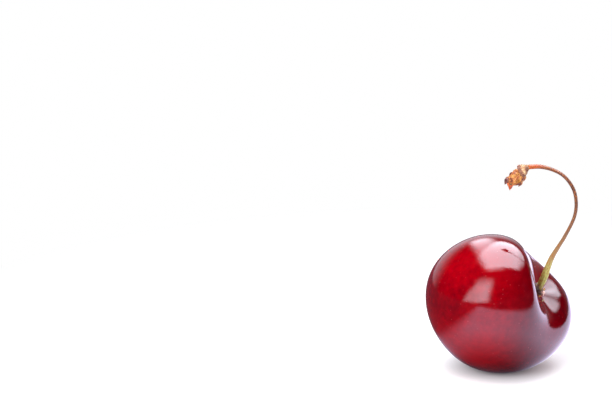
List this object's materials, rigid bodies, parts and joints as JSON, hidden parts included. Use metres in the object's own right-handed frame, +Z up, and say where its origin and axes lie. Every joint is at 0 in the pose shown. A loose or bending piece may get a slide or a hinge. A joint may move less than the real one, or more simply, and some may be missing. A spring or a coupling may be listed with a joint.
{
  "type": "sweet cherry on its stalk",
  "caption": "Ripe dark red sweet cherry lying on its side, with a glossy two-shouldered fruit and a thin stalk that arches over it to a woody foot with dry bud scales.",
  "frame": {"origin": "middle of the small flat that the fruit rests on, at the height of the surface under it", "axes": "+Z up, +X towards the side that the stem cavity opens to, -Y towards the front"},
  "size_m": [0.0262, 0.026, 0.0382],
  "materials": {
    "skin": "glossy deep red skin with fine pale specks",
    "stalk": "satin, yellow-green at the fruit, brown along the arch and orange-red before the foot",
    "torn_cork": "matt, rough, torn",
    "spur_wood": "matt beige bark with brown shading",
    "scale_amber": "dry amber-brown scale, satin",
    "scale_dark": "dry dark purple-brown scale, matt",
    "scale_red": "dry orange-red scale, satin"
  },
  "bodies": {
    "root": {"fruit": "skin", "stalk": "stalk", "receptacle_ring": "torn_cork", "spur_foot": "spur_wood", "spur_heel": "scale_amber", "bud_scale_right": "scale_amber", "bud_scale_lower": "scale_amber", "bud_scale_tip": "scale_dark", "bud_scale_point": "scale_red"}
  },
  "joints": []
}
